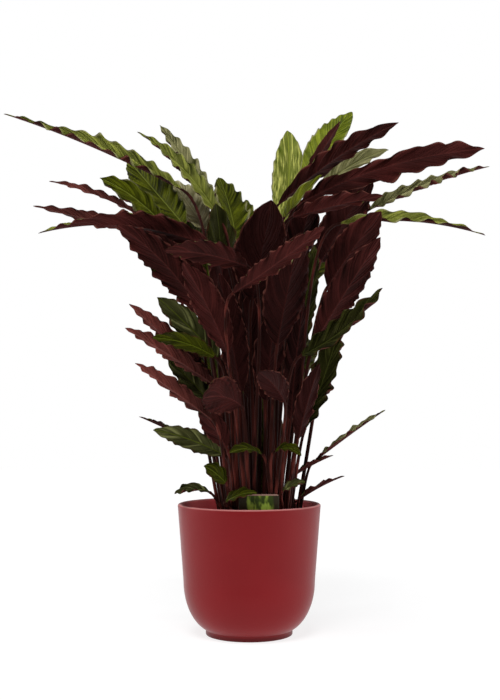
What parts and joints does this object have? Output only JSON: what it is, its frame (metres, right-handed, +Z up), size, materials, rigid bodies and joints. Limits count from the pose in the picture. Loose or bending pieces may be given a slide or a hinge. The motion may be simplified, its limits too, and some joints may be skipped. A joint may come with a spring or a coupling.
{
  "type": "potted velvet calathea",
  "caption": "Houseplant with tall, waved lance-shaped leaves, green above and velvety burgundy below, in a tapering red ceramic pot.",
  "frame": {"origin": "middle of the pot's flat underside", "axes": "+Z up along the pot's axis, -Y towards the front of the plant as pictured, +X to the viewer's right"},
  "size_m": [0.7476, 0.5535, 0.8562],
  "materials": {
    "pot_ceramic": "matte brick-red glaze",
    "black_plastic": "matte black",
    "soil": "moist potting soil",
    "label_card": "coated green card",
    "leaf_green": "living leaf, green upper face towards the viewer",
    "leaf_burgundy": "living leaf, velvety burgundy lower face towards the viewer"
  },
  "bodies": {
    "root": {"grower_pot": "black_plastic", "leaf_back_1": "leaf_green", "leaf_back_2": "leaf_green", "leaf_back_3": "leaf_green", "leaf_back_4": "leaf_green", "leaf_back_5": "leaf_green", "leaf_back_6": "leaf_green", "leaf_front_1": "leaf_burgundy", "leaf_front_10": "leaf_burgundy", "leaf_front_2": "leaf_burgundy", "leaf_front_3": "leaf_burgundy", "leaf_front_4": "leaf_burgundy", "leaf_front_5": "leaf_burgundy", "leaf_front_6": "leaf_burgundy", "leaf_front_7": "leaf_burgundy", "leaf_front_8": "leaf_burgundy", "leaf_front_9": "leaf_burgundy", "leaf_left_low_1": "leaf_burgundy", "leaf_left_low_2": "leaf_green", "leaf_left_low_3": "leaf_green", "leaf_left_low_4": "leaf_burgundy", "leaf_left_low_5": "leaf_burgundy", "leaf_left_low_6": "leaf_green", "leaf_left_low_7": "leaf_green", "leaf_left_mid_1": "leaf_burgundy", "leaf_left_mid_2": "leaf_burgundy", "leaf_left_mid_3": "leaf_burgundy", "leaf_left_mid_4": "leaf_burgundy", "leaf_left_top_1": "leaf_green", "leaf_left_top_10": "leaf_burgundy", "leaf_left_top_11": "leaf_burgundy", "leaf_left_top_2": "leaf_green", "leaf_left_top_3": "leaf_green", "leaf_left_top_4": "leaf_green", "leaf_left_top_5": "leaf_green", "leaf_left_top_6": "leaf_green", "leaf_left_top_7": "leaf_green", "leaf_left_top_8": "leaf_green", "leaf_left_top_9": "leaf_burgundy", "leaf_right_low_1": "leaf_green", "leaf_right_low_2": "leaf_green", "leaf_right_low_3": "leaf_burgundy", "leaf_right_low_4": "leaf_green", "leaf_right_mid_1": "leaf_burgundy", "leaf_right_mid_2": "leaf_burgundy", "leaf_right_mid_3": "leaf_burgundy", "leaf_right_mid_4": "leaf_green", "leaf_right_top_1": "leaf_green", "leaf_right_top_10": "leaf_green", "leaf_right_top_2": "leaf_green", "leaf_right_top_3": "leaf_burgundy", "leaf_right_top_4": "leaf_burgundy", "leaf_right_top_5": "leaf_green", "leaf_right_top_6": "leaf_burgundy", "leaf_right_top_7": "leaf_green", "leaf_right_top_8": "leaf_green", "leaf_right_top_9": "leaf_burgundy", "plant_label": "label_card", "pot": "pot_ceramic", "soil": "soil"}
  },
  "joints": []
}
